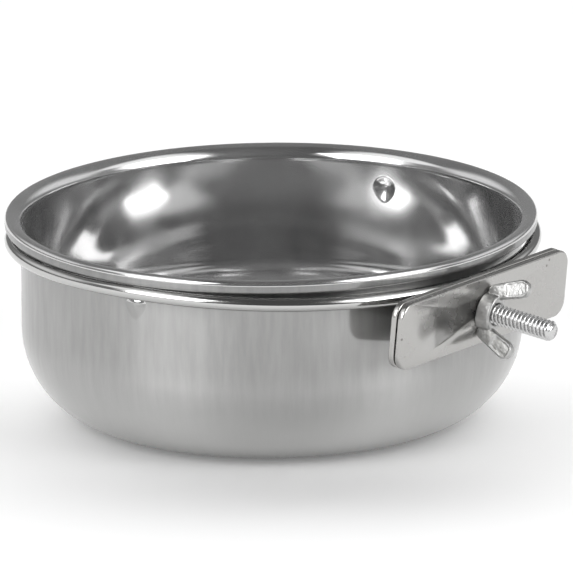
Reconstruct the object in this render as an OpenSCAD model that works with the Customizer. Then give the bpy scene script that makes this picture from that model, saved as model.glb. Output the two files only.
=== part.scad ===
// Seed cup for a bird cage: a spun steel cup that drops into a wire hoop, and a two-plate
// clamp with a wing nut that grips the bars of the cage.
// Millimetres, +Z up, origin in the middle of the cup's base, clamp toward +X.

/* [Cup] */
// Height of the cup from its base to the top of its rim
cup_height = 47; // [38:0.5:70]
// Outer diameter of the upright wall
wall_diameter = 113.4; // [90:0.2:150]
// Thickness of the sheet that the cup is spun from
sheet = 0.6; // [0.5:0.05:0.8]
// Outer radius of the upper bend, from the wall inwards
shoulder_radius = 21.5; // [18:0.5:27]
// Outer radius of the lower bend, onto the flat base
heel_radius = 18.4; // [8:0.2:21]
// Angle above the base at which the lower bend runs into the upper one
heel_angle = 35; // [25:1:45]

/* [Rim] */
// How far the rim stands out past the wall
rim_overhang = 3.6; // [3.5:0.1:5.5]
// Height of the turned-down rim, from its crest to its lower edge
skirt_height = 3; // [2.6:0.1:6]
// Radius through which the wall flares out to the crest
crest_radius = 3.3; // [1:0.1:3.4]
// Angle through which the crown falls before the outer corner
crown_angle = 42; // [25:1:60]
// Inside radius of the tight folds
fold_radius = 0.1; // [0.05:0.05:0.3]

/* [Dimples] */
// Diameter of the pressed dimples that keep the cup in its hoop
dimple_diameter = 6; // [3:0.1:6.5]
// How far a dimple stands out of the wall
dimple_height = 0.6; // [0.4:0.05:1.2]
// Depth of a dimple's middle below the top of the rim
dimple_depth = 8; // [6.5:0.1:12]
// Direction of the first dimple, seen from above
dimple_angle = -86; // [-180:1:180]
// Angle from the first dimple round to the second
dimple_spacing = 185; // [90:1:270]

/* [Hoop] */
// Diameter of the hoop's wire
wire_diameter = 3.2; // [2:0.1:5]
// Gap between a dimple and the wire that it has to pass
dimple_clearance = 0.3; // [0.2:0.05:1]
// Gap between the rim's lower edge and the wire under it
hem_clearance = 0.25; // [0.1:0.05:1]
// Angle by which each half of the hoop hangs below level
hoop_fold = 1.3; // [0:0.1:5]
// Depth to which the wire is pressed flat where it is welded to the plate
weld_flat = 0.25; // [0.1:0.05:0.6]

/* [Clamp] */
// Length of the plates
plate_length = 63.5; // [40:0.5:90]
// Height of the plates
plate_height = 15.7; // [13:0.1:25]
// Thickness of the plates
plate_thickness = 1.5; // [1:0.1:3]
// Corner radius of the plates
plate_corner = 3.6; // [1:0.1:5.5]
// Gap left between the closed plates
plate_gap = 0.3; // [0.1:0.05:3]
// Drop from the wire down to the bolt
plate_drop = 5.3; // [2:0.1:6.5]
// Distance of the bolt from the weld, along the plates
plate_side_shift = -5.9; // [-12:0.1:12]
// Angle by which the clamp droops below level
clamp_droop = 6; // [0:0.1:10]
// Angle by which the plates are turned about the bolt
plate_turn = -0.7; // [-5:0.1:5]

/* [Bolt] */
// Diameter of the bolt
bolt_diameter = 4.76; // [3:0.01:6.35]
// Length of the bolt over all
bolt_length = 22.4; // [16:0.1:50]
// Diameter of the bolt's flush head
head_diameter = 7.4; // [6.5:0.1:9]
// Chamfer at the end of the bolt
bolt_chamfer = 0.6; // [0.2:0.1:1.2]
// Gap around the flush head in its seat
head_clearance = 0.05; // [0.02:0.01:0.2]
// Gap between the bolt and the hole of the outer plate
bolt_hole_clearance = 0.25; // [0.1:0.05:0.8]

/* [Wing nut] */
// Height of the nut's hub
hub_height = 3.6; // [2.5:0.1:6]
// Diameter of the hub where it seats on the plate
hub_base_diameter = 6.9; // [6.7:0.1:12]
// Diameter of the hub at its outer end
hub_top_diameter = 6.5; // [6.2:0.1:10]
// Height of the nut to the tips of its ears
nut_height = 10.3; // [8:0.1:18]
// Width of the nut across its ears
nut_span = 18.4; // [16:0.1:30]
// Width of an ear at its tip
ear_width = 4.2; // [2.5:0.1:5]
// Width of an ear at its root
ear_root_width = 3.6; // [2.5:0.1:4.5]
// Distance of an ear's root from the bolt's axis
ear_root_offset = 4.7; // [4:0.05:6]
// Thickness of an ear
ear_thickness = 2.2; // [1.2:0.1:3]
// Depth of the shallow recess in both faces of an ear
ear_recess = 0.25; // [0.1:0.05:0.4]
// Width of the raised border round the recess
ear_border = 0.6; // [0.4:0.05:1]
// Lean of the ears from upright
nut_angle = 159.4; // [0:0.1:180]
// Gap between the nut's bore and the bolt
thread_clearance = 0.05; // [0.02:0.01:0.1]

/* [Hidden] */
$fn = 96;
overrun = 1;
hoop_shift_share = 0.55;
bend_steps = 8;
fold_steps = 5;

wall_r = wall_diameter / 2;
rim_r = wall_r + rim_overhang;
bolt_r = bolt_diameter / 2;
wire_r = wire_diameter / 2;

// Middles of the cup's bends
heel_x = wall_r - shoulder_radius + (shoulder_radius - heel_radius) * sin(heel_angle);
wall_start = heel_radius + (shoulder_radius - heel_radius) * cos(heel_angle);

// Middles of the rim's bends, seen in section
crest_x = wall_r - sheet + crest_radius;
corner_r = fold_radius + sheet;
corner_x = rim_r - corner_r;
crown_radius = corner_r + (corner_x - crest_x) / sin(crown_angle);
corner_z = cup_height - crown_radius + (crown_radius - corner_r) * cos(crown_angle);
hem_z = cup_height - skirt_height + corner_r;

// Sphere that makes a dimple of the given diameter and height
dimple_r = (pow(dimple_diameter / 2, 2) + pow(dimple_height, 2)) / (2 * dimple_height);

// Hoop round the cup, lying under the rim
hoop_radius = wall_r + dimple_height + dimple_clearance + wire_r;
hoop_shift = (dimple_height + dimple_clearance) * hoop_shift_share;
hoop_height = cup_height - skirt_height - hem_clearance - wire_r;

// Distance of the plate's back from the middle of the wire
weld_depth = wire_r - weld_flat;

// Circles at the root and at the tip of an ear, from the axis and from the seat
root_r = ear_root_width / 2;
tip_r = ear_width / 2;
root_centre = [ear_root_offset, root_r];
tip_centre = [nut_span / 2 - tip_r, nut_height - tip_r];

// Points on an arc, and a list without its first point or turned round
function arc(centre, radius, from, to, steps) =
    [for (i = [0 : steps]) let (a = from + (to - from) * i / steps)
        centre + radius * [cos(a), sin(a)]];
function tail(list) = [for (i = [1 : len(list) - 1]) list[i]];
function reversed(list) = [for (i = [1 : len(list)]) list[len(list) - i]];

// One face of the cup's sheet in section, from the middle of the base to the hem.
// depth is 0 for the outer face and the sheet's thickness for the inner one.
function sheet_line(depth) = concat(
    [[0, depth]],
    arc([heel_x, heel_radius], heel_radius - depth, -90, heel_angle - 90, bend_steps),
    tail(arc([wall_r - shoulder_radius, wall_start], shoulder_radius - depth,
        heel_angle - 90, 0, bend_steps)),
    arc([crest_x, cup_height - crest_radius], crest_radius - sheet + depth, 180, 90, fold_steps),
    tail(arc([crest_x, cup_height - crown_radius], crown_radius - sheet + depth,
        90, 90 - crown_angle, fold_steps)),
    tail(arc([corner_x, corner_z], fold_radius + depth, 90 - crown_angle, 0, fold_steps)),
    arc([corner_x, hem_z], fold_radius + depth, 0, -180, bend_steps)
);

// Frame at the weld: origin in the middle of the wire, local X square to the plates
module clamp_frame() {
    translate([
        hoop_shift + hoop_radius * cos(hoop_fold),
        0,
        hoop_height - hoop_radius * sin(hoop_fold)
    ])
        rotate([0, clamp_droop, 0])
            children();
}

// Frame on the bolt: origin on the inner plate's back, local Z along the bolt, local X down
module bolt_frame() {
    clamp_frame()
        translate([weld_depth, plate_side_shift, -plate_drop])
            rotate([0, 90, 0])
                children();
}

// Puts its children at both dimples, local X pointing out of the cup
module at_dimples() {
    for (turn = [0, dimple_spacing])
        rotate([0, 0, dimple_angle + turn])
            translate([wall_r + dimple_height - dimple_r, 0, cup_height - dimple_depth])
                children();
}

// Spherical swelling that stands out of the wall, turned about local X
module dimple_bump() {
    rotate([0, 90, 0])
        rotate_extrude()
            intersection() {
                circle(r = dimple_r);
                translate([0, dimple_r - dimple_height - sheet / 2])
                    square([dimple_r, dimple_r]);
            }
}

module cup() {
    color([0.78, 0.78, 0.79])
        difference() {
            union() {
                rotate_extrude()
                    polygon(concat(sheet_line(0), reversed(sheet_line(sheet))));
                at_dimples() dimple_bump();
            }
            at_dimples() sphere(r = dimple_r - sheet);
        }
}

// Half of the hoop, toward +X, hanging down from the line across its middle
module hoop_half() {
    reach = hoop_radius + wire_r + overrun;
    intersection() {
        rotate([0, hoop_fold, 0])
            rotate_extrude()
                translate([hoop_radius, 0]) circle(r = wire_r, $fn = 48);
        translate([0, -reach, -reach]) cube([reach, 2 * reach, 2 * reach]);
    }
}

module hoop() {
    color([0.80, 0.80, 0.81])
        difference() {
            translate([hoop_shift, 0, hoop_height]) {
                hoop_half();
                mirror([1, 0, 0]) hoop_half();
            }
            clamp_frame()
                translate([weld_depth, -plate_length / 2, -plate_height / 2])
                    cube([wire_diameter, plate_length, plate_height]);
        }
}

// Flat bar with rounded corners, its length along local Y, its bolt hole in the middle
module bar(thickness) {
    long = plate_length - 2 * plate_corner;
    high = plate_height - 2 * plate_corner;
    linear_extrude(height = thickness)
        union() {
            square([high, plate_length], center = true);
            square([plate_height, long], center = true);
            for (x = [-high / 2, high / 2], y = [-long / 2, long / 2])
                translate([x, y]) circle(r = plate_corner, $fn = 48);
        }
}

module back_plate() {
    seat_r = head_diameter / 2 + head_clearance;
    hole_r = bolt_r + head_clearance;
    flare = (seat_r - hole_r) / plate_thickness * overrun;
    color([0.73, 0.73, 0.74])
        bolt_frame()
            difference() {
                rotate([0, 0, plate_turn]) bar(plate_thickness);
                translate([0, 0, -overrun])
                    cylinder(
                        h = plate_thickness + 2 * overrun,
                        r1 = seat_r + flare,
                        r2 = hole_r - flare
                    );
            }
}

module bolt() {
    color([0.70, 0.72, 0.75])
        bolt_frame()
            rotate_extrude()
                polygon([
                    [0, 0],
                    [head_diameter / 2, 0],
                    [bolt_r, plate_thickness],
                    [bolt_r, bolt_length - bolt_chamfer],
                    [bolt_r - bolt_chamfer, bolt_length],
                    [0, bolt_length]
                ]);
}

module clamp_plate() {
    color([0.74, 0.74, 0.75])
        bolt_frame()
            translate([0, 0, plate_thickness + plate_gap])
                difference() {
                    rotate([0, 0, plate_turn]) bar(plate_thickness);
                    translate([0, 0, -overrun])
                        cylinder(
                            h = plate_thickness + 2 * overrun,
                            r = bolt_r + bolt_hole_clearance
                        );
                }
}

// Outline of an ear, grown or shrunk by grow; local X runs out and local Y along the bolt
module ear_outline(grow) {
    span = tip_centre - root_centre;
    lean = atan2(span.y, span.x);
    spread = acos((root_r - tip_r) / norm(span));
    left = [cos(lean + spread), sin(lean + spread)];
    right = [cos(lean - spread), sin(lean - spread)];
    translate(root_centre) circle(r = root_r + grow, $fn = 48);
    translate(tip_centre) circle(r = tip_r + grow, $fn = 48);
    polygon([
        root_centre + (root_r + grow) * left,
        tip_centre + (tip_r + grow) * left,
        tip_centre + (tip_r + grow) * right,
        root_centre + (root_r + grow) * right
    ]);
}

// One ear with its web to the hub, standing in the plane of local X and Z
module ear() {
    rotate([90, 0, 0])
        difference() {
            translate([0, 0, -ear_thickness / 2])
                linear_extrude(height = ear_thickness)
                    union() {
                        ear_outline(0);
                        translate([bolt_r, 0]) square([ear_root_offset - bolt_r, hub_height]);
                    }
            for (side = [0, 1])
                mirror([0, 0, side])
                    translate([0, 0, ear_thickness / 2 - ear_recess])
                        linear_extrude(height = overrun)
                            intersection() {
                                ear_outline(-ear_border);
                                translate([ear_root_offset - root_r, hub_height + ear_border])
                                    square([nut_span, nut_height]);
                            }
        }
}

module wing_nut() {
    color([0.62, 0.62, 0.61])
        bolt_frame()
            translate([0, 0, 2 * plate_thickness + plate_gap])
                rotate([0, 0, nut_angle])
                    difference() {
                        union() {
                            cylinder(
                                h = hub_height,
                                d1 = hub_base_diameter,
                                d2 = hub_top_diameter
                            );
                            for (turn = [0, 180]) rotate([0, 0, turn]) ear();
                        }
                        translate([0, 0, -overrun])
                            cylinder(h = hub_height + 2 * overrun, r = bolt_r + thread_clearance);
                    }
}

cup();
hoop();
back_plate();
bolt();
clamp_plate();
wing_nut();
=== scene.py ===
# Seed cup for a bird cage: a spun steel cup that hangs by its rim in a wire hoop, and a clamp
# of two steel plates, a bolt and a wing nut that grips the bars of the cage.
import math

import bpy
import numpy as np
from mathutils import Matrix


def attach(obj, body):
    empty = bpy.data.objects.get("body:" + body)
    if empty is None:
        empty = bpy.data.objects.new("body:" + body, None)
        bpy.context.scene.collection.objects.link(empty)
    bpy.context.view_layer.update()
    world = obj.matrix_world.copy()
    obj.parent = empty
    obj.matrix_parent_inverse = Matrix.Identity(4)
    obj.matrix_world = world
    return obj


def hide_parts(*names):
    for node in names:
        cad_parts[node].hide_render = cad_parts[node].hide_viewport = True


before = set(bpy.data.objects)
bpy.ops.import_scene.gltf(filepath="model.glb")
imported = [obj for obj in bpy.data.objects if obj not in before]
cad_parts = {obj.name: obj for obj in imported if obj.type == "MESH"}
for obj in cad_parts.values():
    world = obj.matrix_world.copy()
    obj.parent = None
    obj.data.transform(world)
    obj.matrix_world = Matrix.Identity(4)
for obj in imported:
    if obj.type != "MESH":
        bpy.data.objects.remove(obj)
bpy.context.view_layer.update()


# The studio: a white floor in a dim room, a soft box low at either side of the camera, and
# skylight from behind, which throws the soft shadow to the front. The long lens is tipped by
# half a degree, and no further off than 5.5 m, so that views from other sides reach the cup.
MM = 0.001
VIEW_AZIMUTH = math.radians(36.50)
VIEW_ELEVATION = math.radians(15.469)
VIEW_ROLL = math.radians(0.519)
VIEW_DISTANCE = 5.5
PICTURE_PIXELS, PIXELS_PER_MM = 573, 4.4214
VIEW_WIDTH = PICTURE_PIXELS / PIXELS_PER_MM * MM
RIM_PLANE = 46.45 * MM
AIM_RIGHT, AIM_DOWN = 3.372 * MM, 16.59 * MM
SENSOR_WIDTH = 36
BOX_ELEVATION, BOX_DISTANCE, BOX_LIFT = 26, 1.2, 0.03

above = np.array([0.0, 0.0, 1.0])
view_right = np.array([math.cos(VIEW_AZIMUTH), math.sin(VIEW_AZIMUTH), 0.0])
view_behind = np.array([-math.sin(VIEW_AZIMUTH), math.cos(VIEW_AZIMUTH), 0.0])
view_back = math.sin(VIEW_ELEVATION) * above - math.cos(VIEW_ELEVATION) * view_behind
view_up = np.cross(view_back, view_right)


def linear(code):
    """Linear red, green, blue and a full alpha for an sRGB hex code."""
    srgb = np.array([int(code[i:i + 2], 16) for i in (1, 3, 5)]) / 255
    rgb = np.where(srgb <= 0.04045, srgb / 12.92, ((srgb + 0.055) / 1.055) ** 2.4)
    return (*rgb.tolist(), 1.0)


def add_node(tree, kind, settings={}, inputs={}):
    """Adds one node. Settings go to its properties, and inputs to its sockets by name or
    number, each as a value or as the socket that feeds it."""
    node = tree.nodes.new(kind)
    for name, value in settings.items():
        setattr(node, name, value)
    for key, value in inputs.items():
        if isinstance(value, bpy.types.NodeSocket):
            tree.links.new(value, node.inputs[key])
        else:
            node.inputs[key].default_value = value
    return node


def soft_steps(tree, *steps):
    """The product of soft steps. A step names the value that it follows and where its slope
    starts and ends, then its levels before and after the slope, if these aren't 0 and 1."""
    total = 1.0
    for value, start, end, *levels in steps:
        low, high = levels or (0.0, 1.0)
        slope = add_node(tree, "ShaderNodeMapRange", {"interpolation_type": "SMOOTHSTEP"},
                         {0: value, 1: start, 2: end, 3: low, 4: high}).outputs[0]
        total = add_node(tree, "ShaderNodeMath", {"operation": "MULTIPLY"},
                         {0: total, 1: slope}).outputs[0]
    return total


def way_to(azimuth, elevation):
    """The direction from the cup to a place in the studio. Azimuth is measured from straight
    behind the cup, as the camera sees it, to the right; elevation is the angle above the floor.
    Both are in degrees."""
    a, e = math.radians(azimuth), math.radians(elevation)
    level = math.cos(a) * view_behind + math.sin(a) * view_right
    return math.cos(e) * level + math.sin(e) * above


def place(thing, right, up, back, place_at):
    """Stands a lamp or camera at a point, with its own X, Y and Z along three directions."""
    turned = np.eye(4)
    turned[:3, 0], turned[:3, 1], turned[:3, 2], turned[:3, 3] = right, up, back, place_at
    bpy.context.scene.collection.objects.link(thing)
    thing.matrix_world = Matrix(turned.tolist())


lens = bpy.data.cameras.new("long_lens")
lens.sensor_width = SENSOR_WIDTH
lens.lens = SENSOR_WIDTH * VIEW_DISTANCE / VIEW_WIDTH
lens.clip_start, lens.clip_end = 1.0, 30
camera = bpy.data.objects.new("camera", lens)
aim = RIM_PLANE * above + AIM_RIGHT * view_right - AIM_DOWN * view_up
place(
    camera,
    math.cos(VIEW_ROLL) * view_right - math.sin(VIEW_ROLL) * view_up,
    math.cos(VIEW_ROLL) * view_up + math.sin(VIEW_ROLL) * view_right,
    view_back,
    aim + VIEW_DISTANCE * view_back,
)
bpy.context.scene.camera = camera
bpy.context.scene.view_settings.view_transform = "Standard"

room = bpy.data.worlds.new("dim_studio")
bpy.context.scene.world = room
room.use_nodes = True
tree = room.node_tree
tree.nodes.clear()
direction = add_node(tree, "ShaderNodeTexCoord").outputs["Generated"]
height = add_node(tree, "ShaderNodeSeparateXYZ", {}, {0: direction}).outputs[2]
behind, aside = [add_node(tree, "ShaderNodeVectorMath", {"operation": "DOT_PRODUCT"},
                          {0: direction, 1: way.tolist()}).outputs["Value"]
                 for way in (view_behind, view_right)]
aside = add_node(tree, "ShaderNodeMath", {"operation": "ABSOLUTE"}, {0: aside}).outputs[0]

# The room in the metal's mirror: the wall round the camera, then what is laid over it, each
# with its brightness first: the ceiling, the rear wall, a bright band high at both sides, and
# one behind at both sides.
rear_wall = soft_steps(tree, (height, 0.35, 0.65, 0.22, 0.18))
grey = soft_steps(tree, (behind, -0.85, -0.3, 0.10, 0.25))
for level, *steps in (
    (0.10, (height, 0.5, 0.75)),
    (rear_wall, (behind, 0.05, 0.35)),
    (1.3, (aside, 0.30, 0.50), (height, 0.45, 0.60),
     (behind, 0.0, 0.2, 1.0, 0.0), (behind, -0.7, -0.5)),
    (0.95, (aside, 0.40, 0.75), (height, 0.12, 0.30),
     (height, 0.45, 0.70, 1.0, 0.0), (behind, -0.1, 0.2)),
):
    grey = add_node(tree, "ShaderNodeMix", {},
                    {0: soft_steps(tree, *steps), 2: grey, 3: level}).outputs[0]

# The two soft boxes, each with the glow on the wall round it.
for name, azimuth, wide, high, power, halo in (
    ("left_soft_box", -133, 0.74, 0.84, 6.2, 1.5),
    ("right_soft_box", 126, 0.66, 0.82, 6.0, 2.4),
):
    out, side = way_to(azimuth, BOX_ELEVATION), way_to(azimuth - 90, 0)
    lamp = bpy.data.lights.new(name, "AREA")
    lamp.shape = "RECTANGLE"
    lamp.size, lamp.size_y, lamp.energy = wide, high, power
    place(bpy.data.objects.new(name, lamp), side, np.cross(out, side), out,
          BOX_DISTANCE * out + BOX_LIFT * above)
    near = add_node(tree, "ShaderNodeVectorMath", {"operation": "DOT_PRODUCT"},
                    {0: direction, 1: out.tolist()}).outputs["Value"]
    grey = add_node(tree, "ShaderNodeMath", {"operation": "ADD"},
                    {0: grey, 1: soft_steps(tree, (near, 0.90, 0.98, 0.0, halo))}).outputs[0]

# Mirrored rays see that room, the camera sees plain white, and all else gets the skylight.
path = add_node(tree, "ShaderNodeLightPath").outputs
skylight = soft_steps(tree, (behind, 0.0, 0.6, 0.1, 2.6))
mirrored = add_node(tree, "ShaderNodeMix", {},
                    {0: path["Is Glossy Ray"], 2: skylight, 3: grey}).outputs[0]
seen = add_node(tree, "ShaderNodeMix", {},
                {0: path["Is Camera Ray"], 2: mirrored, 3: 1.0}).outputs[0]
glow = add_node(tree, "ShaderNodeBackground", {}, {0: (1, 1, 1, 1), 1: seen})
add_node(tree, "ShaderNodeOutputWorld", {}, {0: glow.outputs[0]})

# White sweep of matt paper. It glows a little for the camera and for mirrored rays, so that it
# reads as white while it keeps the soft shadow of the cup, and more beyond 0.35 m, where it
# fades into the white behind it.
FLOOR_REACH, FLOOR_DROP = 4.0, 0.0001
FLOOR_GLOW, FAR_GLOW, FAR_FROM, FAR_TO = 0.14, 0.6, 0.35, 0.9
paper = bpy.data.materials.new("matt_white_paper")
paper.use_nodes = True
tree = paper.node_tree
tree.nodes.clear()
path = add_node(tree, "ShaderNodeLightPath").outputs
seen = path["Is Camera Ray"]
for ray in ("Is Glossy Ray", "Is Transmission Ray"):
    seen = add_node(tree, "ShaderNodeMath", {"operation": "MAXIMUM"},
                    {0: seen, 1: path[ray]}).outputs[0]
place_on = add_node(tree, "ShaderNodeTexCoord").outputs["Object"]
off = add_node(tree, "ShaderNodeVectorMath", {"operation": "LENGTH"}, {0: place_on})
far = soft_steps(tree, (off.outputs["Value"], FAR_FROM, FAR_TO, 0.0, FAR_GLOW))
far = add_node(tree, "ShaderNodeMath", {"operation": "MULTIPLY"},
               {0: path["Is Camera Ray"], 1: far}).outputs[0]
lift = add_node(tree, "ShaderNodeMath", {"operation": "MULTIPLY_ADD"},
                {0: seen, 1: FLOOR_GLOW, 2: far}).outputs[0]
glow = add_node(tree, "ShaderNodeEmission", {}, {0: (1, 1, 1, 1), 1: lift})
matt = add_node(tree, "ShaderNodeBsdfDiffuse", {}, {0: linear("#E8E8E8")})
both = add_node(tree, "ShaderNodeAddShader", {}, {0: glow.outputs[0], 1: matt.outputs[0]})
add_node(tree, "ShaderNodeOutputMaterial", {}, {0: both.outputs[0]})
sheet_of_paper = bpy.data.meshes.new("floor")
floor_corners = [(x * FLOOR_REACH, y * FLOOR_REACH, -FLOOR_DROP)
                 for x, y in ((-1, -1), (1, -1), (1, 1), (-1, 1))]
sheet_of_paper.from_pydata(floor_corners, [], [(0, 1, 2, 3)])
floor = bpy.data.objects.new("floor", sheet_of_paper)
bpy.context.scene.collection.objects.link(floor)
floor.data.materials.append(paper)


# The cup. It is spun from 0.6 mm stainless sheet in one piece: flat base, two bends, an upright
# wall, and a rim rolled out over the hoop and folded in at its lower edge. Two dimples are
# pressed outwards through the wall under the rim, so that it snaps past the hoop.
CUP_HEIGHT, WALL_RADIUS, SHEET = 47.0, 56.7, 0.6
SHOULDER, HEEL, HEEL_ANGLE = 21.5, 18.4, 35.0
RIM_OVERHANG, SKIRT, CREST, CROWN, FOLD = 3.6, 3.0, 3.05, 0.55, 0.1
DIMPLE_DEPTH, DIMPLE_ANGLES, DIMPLE_HEIGHT, DIMPLE_PEAK = 8.4, (-86.0, 99.0), 0.6, 0.7
DIMPLE_SIDE, DIMPLE_UP, DIMPLE_DOWN = 2.8, 2.6, 3.6
DIMPLE_BAND, HEM_STEPS = 12.5, 10


def arc(centre, radius, start, end, steps):
    """Points centre + radius (cos a, sin a), with a going evenly from start to end."""
    a = np.radians(np.linspace(start, end, steps + 1))[:, None]
    return np.array(centre) + radius * np.hstack([np.cos(a), np.sin(a)])


def sheet_line(depth):
    """One face of the sheet in section, as radius and height from the middle of the base to the
    hem, with its rows closer in the band that holds the dimples. Depth is 0 on the outside and
    the sheet's thickness on the inside: each arc keeps its centre, and its radius shrinks or
    grows by the depth. Returns it with the number of rows up to the top of the wall."""
    heel_x = WALL_RADIUS - SHOULDER + (SHOULDER - HEEL) * math.sin(math.radians(HEEL_ANGLE))
    wall_start = HEEL + (SHOULDER - HEEL) * math.cos(math.radians(HEEL_ANGLE))
    crest_x = WALL_RADIUS - SHEET + CREST
    crown_x = WALL_RADIUS + RIM_OVERHANG - CROWN - SHEET
    hem = (WALL_RADIUS + RIM_OVERHANG - FOLD - SHEET, CUP_HEIGHT - SKIRT + FOLD + SHEET)
    base_r = np.array([2.0, 8.0, 16.0, 24.0, 31.0, 36.0])
    wall_z = np.concatenate([
        np.linspace(wall_start + 1.5, CUP_HEIGHT - DIMPLE_BAND - 0.5, 7),
        np.linspace(CUP_HEIGHT - DIMPLE_BAND, CUP_HEIGHT - CREST - 0.4, 36),
    ])
    body = np.vstack([
        np.column_stack([base_r, np.full(len(base_r), depth)]),
        arc((heel_x, HEEL), HEEL - depth, -90, HEEL_ANGLE - 90, 12),
        arc((WALL_RADIUS - SHOULDER, wall_start), SHOULDER - depth, HEEL_ANGLE - 90, 0, 22)[1:],
        np.column_stack([np.full(len(wall_z), WALL_RADIUS - depth), wall_z]),
    ])
    rim = np.vstack([
        arc((crest_x, CUP_HEIGHT - CREST), CREST - SHEET + depth, 180, 90, 14),
        arc((crown_x, CUP_HEIGHT - CROWN - SHEET), CROWN + depth, 88, 0, 14),
        arc(hem, FOLD + depth, 0, -180, HEM_STEPS),
    ])
    return np.vstack([body, rim]), len(body)


def dimple_swell(theta, z):
    """How far the wall's pressed places stand out, in millimetres: h (1 - |s|^p - |t|^p)^1.3,
    where s and t are the distances from the dimple's middle, to the side and up or down, over
    its reach there. The power p is 2 in the upper half, and 1.5 in the lower half, which draws
    that to a soft point."""
    swell = np.zeros(np.broadcast(theta, z).shape)
    rise = z - (CUP_HEIGHT - DIMPLE_DEPTH)
    t = np.where(rise > 0, rise / DIMPLE_UP, rise / DIMPLE_DOWN)
    power = np.where(rise > 0, 2.0, 1.5)
    for angle in DIMPLE_ANGLES:
        turn = (theta - math.radians(angle) + math.pi) % (2 * math.pi) - math.pi
        s = turn * WALL_RADIUS / DIMPLE_SIDE
        q = np.abs(s) ** power + np.abs(t) ** power
        swell += DIMPLE_PEAK * np.clip(1 - q, 0, 1) ** 1.3
    return swell


def mesh_piece(name, grid, lengths=None, wrap_rows=False, poles=None):
    """A closed surface from a grid of points in millimetres, rows by columns, whose columns
    wrap round. Rows wrap too for a ring, or end in two pole points. Lengths gives each point's
    place along the surface in millimetres, with one column more, for the UV map."""
    rows, columns = grid.shape[:2]
    i = np.arange(rows if wrap_rows else rows - 1)[:, None]
    j = np.arange(columns)[None, :]
    down, across = (i + 1) % rows, (j + 1) % columns
    corners = [(i, j, j), (i, across, j + 1), (down, across, j + 1), (down, j, j)]
    faces = np.stack([a * columns + b for a, b, c in corners], -1).reshape(-1, 4).tolist()
    points = grid.reshape(-1, 3)
    fans = []
    if poles is not None:
        points = np.vstack([points, poles])
        ring = np.arange(columns)
        after = (ring + 1) % columns
        last = (rows - 1) * columns
        fans = [np.stack([after, ring, np.full(columns, len(points) - 2)], -1),
                np.stack([last + ring, last + after, np.full(columns, len(points) - 1)], -1)]
        fans = np.vstack(fans).tolist()
    mesh = bpy.data.meshes.new(name)
    mesh.from_pydata((points * MM).tolist(), [], faces + fans)
    if lengths is not None:
        whole = (len(i), columns)
        flat = np.stack([lengths[np.broadcast_to(a if a is i else i + 1, whole),
                                 np.broadcast_to(c, whole)] for a, b, c in corners], 2)
        uv = np.zeros((len(mesh.loops), 2))
        uv[:flat.size // 2] = flat.reshape(-1, 2)
        mesh.uv_layers.new(name="surface_mm").uv.foreach_set("vector", uv.ravel())
    mesh.shade_smooth()
    piece = bpy.data.objects.new(name, mesh)
    bpy.context.scene.collection.objects.link(piece)
    return piece


def angles_with_fine_parts(step, fine_step, half_width, least):
    """Angles round the cup, evenly spaced in degrees, with closer ones within the half width of
    each dimple, and none nearer to the last than the least. Returns them in radians."""
    parts = [np.arange(0, 360, step)]
    for angle in DIMPLE_ANGLES:
        parts.append(np.arange(angle - half_width, angle + half_width, fine_step) % 360)
    joined = np.sort(np.concatenate(parts))
    return np.radians(joined[np.concatenate([[True], np.diff(joined) > least])])


outer_line, wall_rows = sheet_line(0.0)
inner_line, wall_rows = sheet_line(SHEET)
line = np.vstack([outer_line, inner_line[::-1]])
theta = angles_with_fine_parts(step=1.25, fine_step=0.22, half_width=4.6, least=0.05)
on_wall = np.zeros(len(line))
on_wall[:wall_rows] = on_wall[-wall_rows:] = 1.0
swell = dimple_swell(theta[None, :], line[:, 1:2]) * on_wall[:, None]
radius = line[:, 0:1] + swell
grid = np.stack([radius * np.cos(theta), radius * np.sin(theta),
                 np.broadcast_to(line[:, 1:2], radius.shape)], -1)
along = np.concatenate([[0], np.cumsum(np.hypot(*np.diff(line, axis=0).T))])
round_wall = np.append(theta, theta[0] + 2 * math.pi) * WALL_RADIUS
round_and_up = np.stack(np.meshgrid(round_wall, along), -1)
cup = mesh_piece("spun_cup", grid, round_and_up, poles=[[0, 0, 0], [0, 0, SHEET]])


def metal(name, colour, roughness):
    """A bare metal: the material, its tree, and its shader node with colour and roughness."""
    material = bpy.data.materials.new(name)
    material.use_nodes = True
    tree = material.node_tree
    shader = tree.nodes["Principled BSDF"]
    shader.inputs["Base Color"].default_value = linear(colour)
    shader.inputs["Metallic"].default_value = 1.0
    shader.inputs["Roughness"].default_value = roughness
    return material, tree, shader


def second_layer(tree, shader, colour, roughness, share):
    """Blends a share of the same metal at another roughness over the first shader."""
    other = add_node(tree, "ShaderNodeBsdfPrincipled", {},
                     {"Base Color": linear(colour), "Metallic": 1.0, "Roughness": roughness})
    blend = add_node(tree, "ShaderNodeMixShader", {},
                     {0: share, 1: shader.outputs[0], 2: other.outputs[0]})
    tree.links.new(blend.outputs[0], tree.nodes["Material Output"].inputs[0])
    return other


# Stainless steel, finished upright with fine grit, which leaves hairlines. Real ones are finer
# than the picture shows, so they are drawn about 0.15 mm apart and 10 mm long, in faint bands
# 2 mm wide. It looks streaked and dull, and still mirrors what stands close.
HAIR_APART, HAIR_LONG, BAND_WIDE, BAND_LONG = 1 / 7, 10.0, 2.0, 16.667
# Where the painted reflection of the floor lies on the lower of the two bends, in millimetres along
# the outside from the middle of the base.
BEND_START, BEND_LIT, BEND_FADES, BEND_END = 40.0, 51.0, 52.0, 72.0


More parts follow.
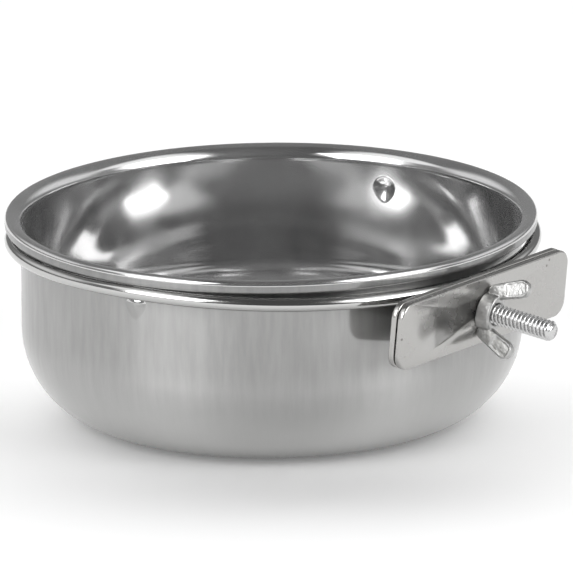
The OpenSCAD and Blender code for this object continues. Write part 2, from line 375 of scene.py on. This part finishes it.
def satin(name, dark, light):
    """A brushed steel whose bands go from the dark to the light colour, with a painted reflection
    of the floor
    on the lower of the two bends: a lighter band, measured in millimetres from the middle of the
    base along the outside.
    Nearly half of it spreads light up and down, and the rest mirrors what is close."""
    steel, tree, shader = metal(name, light, 0.4)
    surface = add_node(tree, "ShaderNodeUVMap", {"uv_map": "surface_mm"}).outputs[0]
    streaks = []
    for apart, long, detail in ((HAIR_APART, HAIR_LONG, 3.0), (BAND_WIDE, BAND_LONG, 4.0)):
        drawn = add_node(tree, "ShaderNodeMapping", {},
                         {0: surface, "Scale": (1 / apart, 1 / long, 1.0)}).outputs[0]
        streaks.append(add_node(tree, "ShaderNodeTexNoise", {"noise_dimensions": "2D"},
                                {"Vector": drawn, "Scale": 1.0, "Detail": detail,
                                 "Roughness": 0.6}).outputs[0])
    fine, bands = streaks
    rough = add_node(tree, "ShaderNodeMapRange", {}, {0: fine, 1: 0.35, 2: 0.65, 3: 0.38, 4: 0.45})
    tree.links.new(rough.outputs[0], shader.inputs["Roughness"])
    tone = add_node(tree, "ShaderNodeMapRange", {}, {0: bands, 1: 0.3, 2: 0.7, 3: 0.0, 4: 1.0})
    tint = add_node(tree, "ShaderNodeMix", {"data_type": "RGBA"},
                    {0: tone.outputs[0], 6: linear(dark), 7: linear(light)}).outputs[2]
    # Painted reflection: a band on the lower of the two bends is tinted lighter, for the bright
    # floor that it mirrors.
    up = add_node(tree, "ShaderNodeSeparateXYZ", {}, {0: surface}).outputs[1]
    floor_sheen_painted = soft_steps(tree, (up, BEND_FADES, BEND_END, 1.0, 0.0),
                      (up, BEND_START, BEND_LIT, 0.1, 1.0))
    tint = add_node(tree, "ShaderNodeMix", {"data_type": "RGBA"},
                    {0: floor_sheen_painted, 6: tint, 7: linear("#C8C8C7")}).outputs[2]
    bump = add_node(tree, "ShaderNodeBump", {},
                    {"Strength": 0.05, "Distance": 0.02 * MM, "Height": fine}).outputs[0]
    grain = add_node(tree, "ShaderNodeTangent",
                     {"direction_type": "UV_MAP", "uv_map": "surface_mm"})
    tree.links.new(grain.outputs[0], shader.inputs["Tangent"])
    shader.inputs["Anisotropic"].default_value = 0.85
    shader.inputs["Anisotropic Rotation"].default_value = 0.25
    sharp = second_layer(tree, shader, light, 0.10, 0.55)
    for layer in (shader, sharp):
        tree.links.new(tint, layer.inputs["Base Color"])
        tree.links.new(bump, layer.inputs["Normal"])
    return steel


wall_steel = satin("satin_stainless_steel", "#A1A1A0", "#ABABAA")
# The rim's skirt has darker colours than the wall: painted shade, for the shadowed floor in front
# that it mirrors.
rim_steel_painted_darker = satin("satin_steel_of_the_rim", "#8E8E8E", "#9C9C9B")


def uneven_polish(tree, shader, wide, detail, start, end, smooth, rough, crisp=0.5):
    """Lets a metal's roughness go from smooth to rough as a cloudy noise on the piece's own
    coordinates goes from start to end. Its patches are so many millimetres wide, and more crisp
    ones have more grain. Returns the coordinates and the noise, for what else follows them."""
    place_on = add_node(tree, "ShaderNodeTexCoord").outputs["Object"]
    noise = add_node(tree, "ShaderNodeTexNoise", {},
                     {"Vector": place_on, "Scale": 1 / (wide * MM), "Detail": detail,
                      "Roughness": crisp}).outputs[0]
    finish = add_node(tree, "ShaderNodeMapRange", {},
                      {0: noise, 1: start, 2: end, 3: smooth, 4: rough})
    tree.links.new(finish.outputs[0], shader.inputs["Roughness"])
    return place_on, noise


# The same steel, buffed to a mirror inside and over the rim, with the waves about 20 mm long
# that spinning leaves, and hazy smears of nearly that size.
SMEAR_WIDE, WAVE_WIDE, WAVE_DEEP = 16.667, 22.222, 0.08
mirror_steel, tree, shader = metal("buffed_stainless_steel", "#CFCFCF", 0.08)
place_on, smear = uneven_polish(tree, shader, SMEAR_WIDE, detail=5.0, start=0.4, end=0.75,
                                smooth=0.06, rough=0.16)
share = add_node(tree, "ShaderNodeMapRange", {}, {0: smear, 1: 0.35, 2: 0.7, 3: 0.05, 4: 0.16})
second_layer(tree, shader, "#CFCFCF", 0.55, share.outputs[0])
wave = add_node(tree, "ShaderNodeTexNoise", {},
                {"Vector": place_on, "Scale": 1 / (WAVE_WIDE * MM), "Detail": 1.0}).outputs[0]
bump = add_node(tree, "ShaderNodeBump", {},
                {"Strength": 1.0, "Distance": WAVE_DEEP * MM, "Height": wave})
tree.links.new(bump.outputs[0], shader.inputs["Normal"])

# The wall outside is satin, and so is the rim's skirt, from the lowest point of the hem up. The
# rest is the mirror, also the upper half of each dimple, which the press has rubbed bright.
SATIN, MIRROR, SKIRT_SATIN = range(3)
for steel in (wall_steel, mirror_steel, rim_steel_painted_darker):
    cup.data.materials.append(steel)
finish_of_row = np.full(len(line) - 1, MIRROR, dtype=np.int32)
finish_of_row[:wall_rows] = SATIN
hem_row = len(outer_line)
finish_of_row[hem_row + HEM_STEPS // 2:hem_row + HEM_STEPS + 1] = SKIRT_SATIN
finish = np.repeat(finish_of_row[:, None], len(theta), axis=1)
rubbed = (swell[:-1] > 0.08) & (line[:-1, 1:2] > CUP_HEIGHT - DIMPLE_DEPTH + 0.3)
finish[rubbed] = MIRROR
fans_of_base = np.repeat(np.array([SATIN, MIRROR], np.int32), len(theta))
cup.data.polygons.foreach_set("material_index", np.concatenate([finish.ravel(), fans_of_base]))
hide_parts("cup")
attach(cup, "cup")


# The hoop. A ring of 3.2 mm stainless wire, buffed, whose two halves hang a little below level,
# and which is pressed flat where it is welded to the inner plate.
WIRE, GAP, HEM_GAP, WELD_FLAT = 3.2, 0.3, 0.25, 0.25
HOOP_FOLD, FOLD_EASE, HOOP_SHIFT = math.radians(1.3), 15.0, 0.55
CLAMP_DROOP = math.radians(6.0)
wire_radius = WIRE / 2
hoop_radius = WALL_RADIUS + DIMPLE_HEIGHT + GAP + wire_radius
hoop_shift = (DIMPLE_HEIGHT + GAP) * HOOP_SHIFT
hoop_height = CUP_HEIGHT - SKIRT - HEM_GAP - wire_radius
weld_point = np.array([hoop_shift + hoop_radius * math.cos(HOOP_FOLD), 0,
                       hoop_height - hoop_radius * math.sin(HOOP_FOLD)])
clamp_out = np.array([math.cos(CLAMP_DROOP), 0, -math.sin(CLAMP_DROOP)])
clamp_up = np.array([math.sin(CLAMP_DROOP), 0, math.cos(CLAMP_DROOP)])
clamp_side = np.array([0, 1.0, 0])


def hoop_grid(turns, sides):
    """A circle of wire about a ring, tube by tube. The ring's middle line is (R cos a cos f,
    R sin a, -R |cos a| sin f), so each half hangs by the fold f, and the kink is eased. What
    passes the weld's flat is pressed back to it."""
    a = np.linspace(0, 2 * math.pi, turns, endpoint=False)[:, None]
    b = np.linspace(0, 2 * math.pi, sides, endpoint=False)[None, :]
    eased = np.hypot(hoop_radius * np.cos(a), FOLD_EASE) - FOLD_EASE
    reach = math.hypot(hoop_radius, FOLD_EASE) - FOLD_EASE
    hang = -hoop_radius * math.sin(HOOP_FOLD) * eased / reach
    r = hoop_radius + wire_radius * np.cos(b)
    middle = np.stack([hoop_shift + r * np.cos(a) * math.cos(HOOP_FOLD), r * np.sin(a),
                       hoop_height + hang + wire_radius * np.sin(b)], -1)
    out = (middle - weld_point) @ clamp_out
    past = np.clip(out - (wire_radius - WELD_FLAT), 0, None) * (middle[..., 0] > 0)
    return middle - past[..., None] * clamp_out


hoop = mesh_piece("wire_hoop", hoop_grid(480, 40)[::-1], wrap_rows=True)

# Buffed stainless wire: a clear mirror with a few duller places about 6 mm long.
wire_steel, tree, shader = metal("buffed_stainless_wire", "#C2C2C1", 0.10)
uneven_polish(tree, shader, wide=6.25, detail=4.0, start=0.4, end=0.75, smooth=0.06, rough=0.18)
hoop.data.materials.append(wire_steel)
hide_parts("hoop")
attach(hoop, "holder")


# The two plates. Both are blanked from 1.5 mm steel strip with round corners and tumbled, which
# rounds their edges and leaves a grey satin with small pits. The inner one is welded to the
# hoop; the outer one slides on the bolt.
PLATE_LONG, PLATE_HIGH, PLATE_THICK, PLATE_CORNER, PLATE_GAP = 63.5, 15.7, 1.5, 3.6, 0.3
PLATE_DROP, PLATE_SIDE, PLATE_TURN, PLATE_EDGE = 5.3, -5.9, math.radians(-0.7), 0.4
BOLT_RADIUS, HEAD_FIT, SLIDE_FIT = 4.76 / 2, 0.05, 0.25
bolt_start = (weld_point + (wire_radius - WELD_FLAT) * clamp_out - PLATE_DROP * clamp_up
              + PLATE_SIDE * clamp_side)


def on_clamp(points):
    """Puts points given as down, sideways and out along the bolt into the cup's frame."""
    return (bolt_start + points[..., 2:3] * clamp_out + points[..., 1:2] * clamp_side
            - points[..., 0:1] * clamp_up)


def plate_grid(near, hole, corner_points=9):
    """A plate as rings: round the hole, over the front, round the edge and over the back. A ring
    at inset e is the plate's outline moved in by e; the edge is a quarter circle of its radius
    at the front and at the back. The whole is turned a little about the bolt."""
    quarters = [np.linspace(90 * k, 90 * (k + 1), corner_points) for k in range(4)]
    a = np.radians(np.concatenate(quarters))
    sx = np.repeat([1, -1, -1, 1], corner_points) * (PLATE_HIGH / 2 - PLATE_CORNER)
    sy = np.repeat([1, 1, -1, -1], corner_points) * (PLATE_LONG / 2 - PLATE_CORNER)
    q = np.radians(np.linspace(0, 90, 6))
    insets = PLATE_EDGE * np.concatenate([1 - np.sin(q), 1 - np.cos(q)])
    heights = np.concatenate([near + PLATE_EDGE * (1 - np.cos(q)),
                              near + PLATE_THICK - PLATE_EDGE * (1 - np.sin(q))])
    r = PLATE_CORNER - insets[:, None]
    outline = np.stack([sx + r * np.cos(a), sy + r * np.sin(a),
                        np.broadcast_to(heights[:, None], (len(r), len(a)))], -1)
    way = np.arctan2(outline[0, :, 1], outline[0, :, 0])
    first, last = [np.stack([hole * np.cos(way), hole * np.sin(way), np.full(len(way), h)], -1)
                   for h in (near, near + PLATE_THICK)]
    c, s = math.cos(PLATE_TURN), math.sin(PLATE_TURN)
    return np.concatenate([[first], outline, [last]]) @ np.array([[c, s, 0], [-s, c, 0], [0, 0, 1]])


back_plate, clamp_plate = [
    mesh_piece(name, on_clamp(plate_grid(near, BOLT_RADIUS + fit)), wrap_rows=True)
    for name, near, fit in (("inner_plate", 0.0, HEAD_FIT),
                            ("outer_plate", PLATE_THICK + PLATE_GAP, SLIDE_FIT))
]

# Tumbled steel strip: dull satin with grains about 0.3 mm wide, broad cloudy patches and a
# scatter of small dark pits, 2 to 3 mm apart in the duller patches.
CLOUD_WIDE, GRAIN_WIDE, PIT_APART = 5.5556, 0.33333, 2.381
tumbled_steel, tree, shader = metal("tumbled_steel_strip", "#B4B3B1", 0.32)
place_on, cloud = uneven_polish(tree, shader, CLOUD_WIDE, detail=4.0, start=0.35, end=0.65,
                                smooth=0.18, rough=0.32)
grain = add_node(tree, "ShaderNodeTexNoise", {},
                 {"Vector": place_on, "Scale": 1 / (GRAIN_WIDE * MM), "Detail": 2.0}).outputs[0]
spot = add_node(tree, "ShaderNodeTexVoronoi", {},
                {"Vector": place_on, "Scale": 1 / (PIT_APART * MM)}).outputs["Distance"]
pit = add_node(tree, "ShaderNodeMapRange", {}, {0: spot, 1: 0.10, 2: 0.16, 3: 1.0, 4: 0.0})
few = add_node(tree, "ShaderNodeMath", {"operation": "GREATER_THAN"}, {0: cloud, 1: 0.56})
pit = add_node(tree, "ShaderNodeMath", {"operation": "MULTIPLY"},
               {0: pit.outputs[0], 1: few.outputs[0]})
tint = add_node(tree, "ShaderNodeMix", {"data_type": "RGBA"},
                {0: pit.outputs[0], 6: linear("#B4B3B1"), 7: linear("#83817E")}).outputs[2]
tree.links.new(tint, shader.inputs["Base Color"])
bump = add_node(tree, "ShaderNodeBump", {},
                {"Strength": 0.25, "Distance": 0.02 * MM, "Height": grain})
tree.links.new(bump.outputs[0], shader.inputs["Normal"])
for plate, node, body in ((back_plate, "back_plate", "holder"),
                          (clamp_plate, "clamp_plate", "clamp")):
    plate.data.materials.append(tumbled_steel)
    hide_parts(node)
    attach(plate, body)


# The bolt. A 4.76 mm machine bolt with 24 threads to the inch, rolled and bright zinc plated,
# its flush head fixed in the inner plate and its end chamfered.
BOLT_LONG, BOLT_HEAD, BOLT_CHAMFER, PITCH = 22.4, 7.4, 0.6, 25.4 / 24
THREAD_DEEP, THREAD_SLACK, THREAD_RUN_IN = 0.6134 * PITCH, 0.02, 0.8
ROOT_FLAT, FLANK = 0.16, 0.70


def bolt_grid(rows_per_turn, sides):
    """Radius over height and angle. The thread is a 60 degree ridge that climbs one pitch each
    turn: its depth follows a clipped triangle wave of z / pitch - angle / 360, with its corners
    half rounded, and grows from nothing at the plate."""
    a = np.linspace(0, 2 * math.pi, sides, endpoint=False)[None, :]
    z = np.concatenate([[0.0, 0.3], np.arange(PLATE_THICK, BOLT_LONG, PITCH / rows_per_turn),
                        [BOLT_LONG]])[:, None]
    wave = np.abs(((z / PITCH - a / (2 * math.pi)) % 1.0) * 2 - 1)
    ridge = np.clip((wave - ROOT_FLAT) / FLANK, 0, 1)
    ridge = (ridge * ridge * (3 - 2 * ridge) + ridge) / 2
    run_in = np.clip((z - PLATE_THICK) / THREAD_RUN_IN, 0, 1)
    shank = BOLT_RADIUS - THREAD_SLACK - THREAD_DEEP * (1 - ridge) * run_in
    head = BOLT_HEAD / 2 + (BOLT_RADIUS - BOLT_HEAD / 2) * z / PLATE_THICK
    r = np.where(z < PLATE_THICK, head, shank)
    r = np.minimum(r, BOLT_RADIUS - BOLT_CHAMFER + (BOLT_LONG - z))
    return np.stack([r * np.cos(a), r * np.sin(a), z + 0 * a], -1)


bolt = mesh_piece("threaded_bolt", on_clamp(bolt_grid(16, 64))[::-1],
                  poles=on_clamp(np.array([[0, 0, BOLT_LONG], [0, 0, 0.0]])))

# Bright zinc plate: a pale grey metal, hazy in patches of 1 to 2 mm.
zinc_plate, tree, shader = metal("bright_zinc_plate", "#CBCBCB", 0.2)
uneven_polish(tree, shader, wide=1.4286, detail=4.0, start=0.35, end=0.7, smooth=0.14, rough=0.34)
bolt.data.materials.append(zinc_plate)
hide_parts("bolt")
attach(bolt, "holder")


# The wing nut. It is cast in one piece and galvanised: a tapered hub with a threaded bore and
# two flat ears that lean outwards, each with a bare shallow recess on both faces.
HUB_HIGH, HUB_SWELL, NUT_HIGH, NUT_SPAN, NUT_LEAN = 3.6, 0.9, 10.3, 18.4, math.radians(159.4)
EAR_WIDE, EAR_ROOT_WIDE, EAR_ROOT_AT, EAR_THICK = 4.2, 3.6, 4.7, 2.2
WEB_ROOT_AT, WEB_THINNER = 3.9, 0.05
RECESS_DEEP, RECESS_START, RECESS_MARGIN, RECESS_SLOPE = 0.25, 2.6, 0.45, 0.35
SKIN_VOXEL, SKIN_EASE = 0.12, 6
nut_seat = 2 * PLATE_THICK + PLATE_GAP
lean_x, lean_y = math.cos(NUT_LEAN), math.sin(NUT_LEAN)


def hub_grid(sides):
    """The hub's section, a closed line of radius and height, carried round the bolt. Outside the
    bore its radius grows with cos^2 of the angle, most of all under the ears."""
    section = np.array([
        [2.43, 0.0], [2.9, 0.0], [3.3, 0.0], [3.45, 0.25], [3.43, 0.9], [3.38, 2.0],
        [3.3, 3.1], [3.15, 3.5], [2.95, 3.6], [2.7, 3.6], [2.43, 3.35], [2.43, 1.5],
    ])
    a = np.linspace(0, 2 * math.pi, sides, endpoint=False)[None, :]
    r, z = section[:, 0:1], section[:, 1:2]
    r = r + HUB_SWELL * np.clip((r - 2.6) / 0.6, 0, 1) * np.cos(a) ** 2
    return np.stack([r * np.cos(a), r * np.sin(a), z + 0 * a], -1)


def ear_grid(start, end, wide_start, wide_end, side, recess):
    """A flat bar with round ends, as rings along its middle line. A ring is a rounded oblong
    |w|^4 + |t|^4 = 1; its half width follows the line between the two ends and closes in a
    circle past them. The recess lowers the middle of both faces."""
    start, end = np.array(start), np.array(end)
    long = np.linalg.norm(end - start)
    ahead = (end - start) / long
    across = np.array([ahead[1], -ahead[0]])
    q = np.radians(np.linspace(4, 90, 10))
    s = np.concatenate([-wide_start * np.cos(q), np.linspace(0, long, 26)[1:-1],
                        long + wide_end * np.cos(q[::-1])])
    width = np.concatenate([wide_start * np.sin(q), np.linspace(wide_start, wide_end, 26)[1:-1],
                            wide_end * np.sin(q[::-1])])
    s, width = s[:, None], width[:, None]
    b = np.linspace(0, 2 * math.pi, 48, endpoint=False)
    w, t = [np.sign(c) * np.abs(c) ** 0.5 for c in (np.cos(b), np.sin(b))]
    inside = np.minimum(width * (1 - np.abs(w)), long + wide_end - s)
    inside = np.minimum(inside, s - RECESS_START)
    dip = recess * np.clip((inside - RECESS_MARGIN) / RECESS_SLOPE, 0, 1)
    thick = t * np.minimum(EAR_THICK / 2, width) - np.sign(t) * dip
    out = start[0] + s * ahead[0] + width * w * across[0]
    high = start[1] + s * ahead[1] + width * w * across[1]
    return np.stack([side * out, side * thick, high], -1)


def on_nut(points):
    """Turns points about the bolt by the nut's lean and lifts them onto the outer plate."""
    x, y, z = np.moveaxis(points, -1, 0)
    turned = [x * lean_x - y * lean_y, x * lean_y + y * lean_x, z + nut_seat]
    return on_clamp(np.stack(turned, -1))


def fuse(name, pieces, voxel, smoothing):
    """Joins closed pieces into one skin of small voxels and eases the creases between them."""
    bpy.ops.object.select_all(action="DESELECT")
    for piece in pieces:
        piece.select_set(True)
    joined = pieces[0]
    bpy.context.view_layer.objects.active = joined
    bpy.ops.object.join()
    remesh = joined.modifiers.new("skin", "REMESH")
    remesh.mode, remesh.voxel_size = "VOXEL", voxel * MM
    ease = joined.modifiers.new("ease", "SMOOTH")
    ease.factor, ease.iterations = 0.5, smoothing
    shown = joined.evaluated_get(bpy.context.evaluated_depsgraph_get())
    mesh = bpy.data.meshes.new_from_object(shown)
    mesh.name = name
    mesh.shade_smooth()
    joined.modifiers.clear()
    joined.data = mesh
    joined.name = name
    return joined


nut_parts = [mesh_piece("hub", on_nut(hub_grid(96)), wrap_rows=True)]
hub_middle, root_half = HUB_HIGH / 2, EAR_ROOT_WIDE / 2
root = (EAR_ROOT_AT, root_half)
tip = (NUT_SPAN / 2 - EAR_WIDE / 2, NUT_HIGH - EAR_WIDE / 2)
for side in (1, -1):
    blade = ear_grid(root, tip, root_half, EAR_WIDE / 2, side, RECESS_DEEP)
    web = ear_grid((WEB_ROOT_AT, hub_middle), root, hub_middle - WEB_THINNER,
                   root_half - WEB_THINNER, side, 0.0)
    for name, bar in (("blade", blade), ("web", web)):
        nut_parts.append(mesh_piece(name, on_nut(bar), poles=on_nut(bar[[0, -1]].mean(1))))
nut = fuse("cast_wing_nut", nut_parts, SKIN_VOXEL, SKIN_EASE)

# Galvanised casting: a dull grey skin of zinc with lumps about 1 mm wide and finer grains on
# them. Its colour carries painted light on the proud tops of the lumps and painted shade between
# them.
LUMP_WIDE, LUMP_DEEP = 1.1111, 0.18
cast_zinc, tree, shader = metal("galvanised_casting", "#B5B5B4", 0.35)
_, lumps = uneven_polish(tree, shader, LUMP_WIDE, detail=4.0, start=0.35, end=0.7,
                         smooth=0.28, rough=0.46, crisp=0.6)
# Painted light and shade: the tops of the lumps are tinted lighter and their hollows darker.
tint = add_node(tree, "ShaderNodeMix", {"data_type": "RGBA"},
                {0: lumps, 6: linear("#8A8A89"), 7: linear("#D2D2D1")}).outputs[2]
tree.links.new(tint, shader.inputs["Base Color"])
bump = add_node(tree, "ShaderNodeBump", {},
                {"Strength": 1.0, "Distance": LUMP_DEEP * MM, "Height": lumps})
tree.links.new(bump.outputs[0], shader.inputs["Normal"])
nut.data.materials.append(cast_zinc)
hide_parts("wing_nut")
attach(nut, "nut")
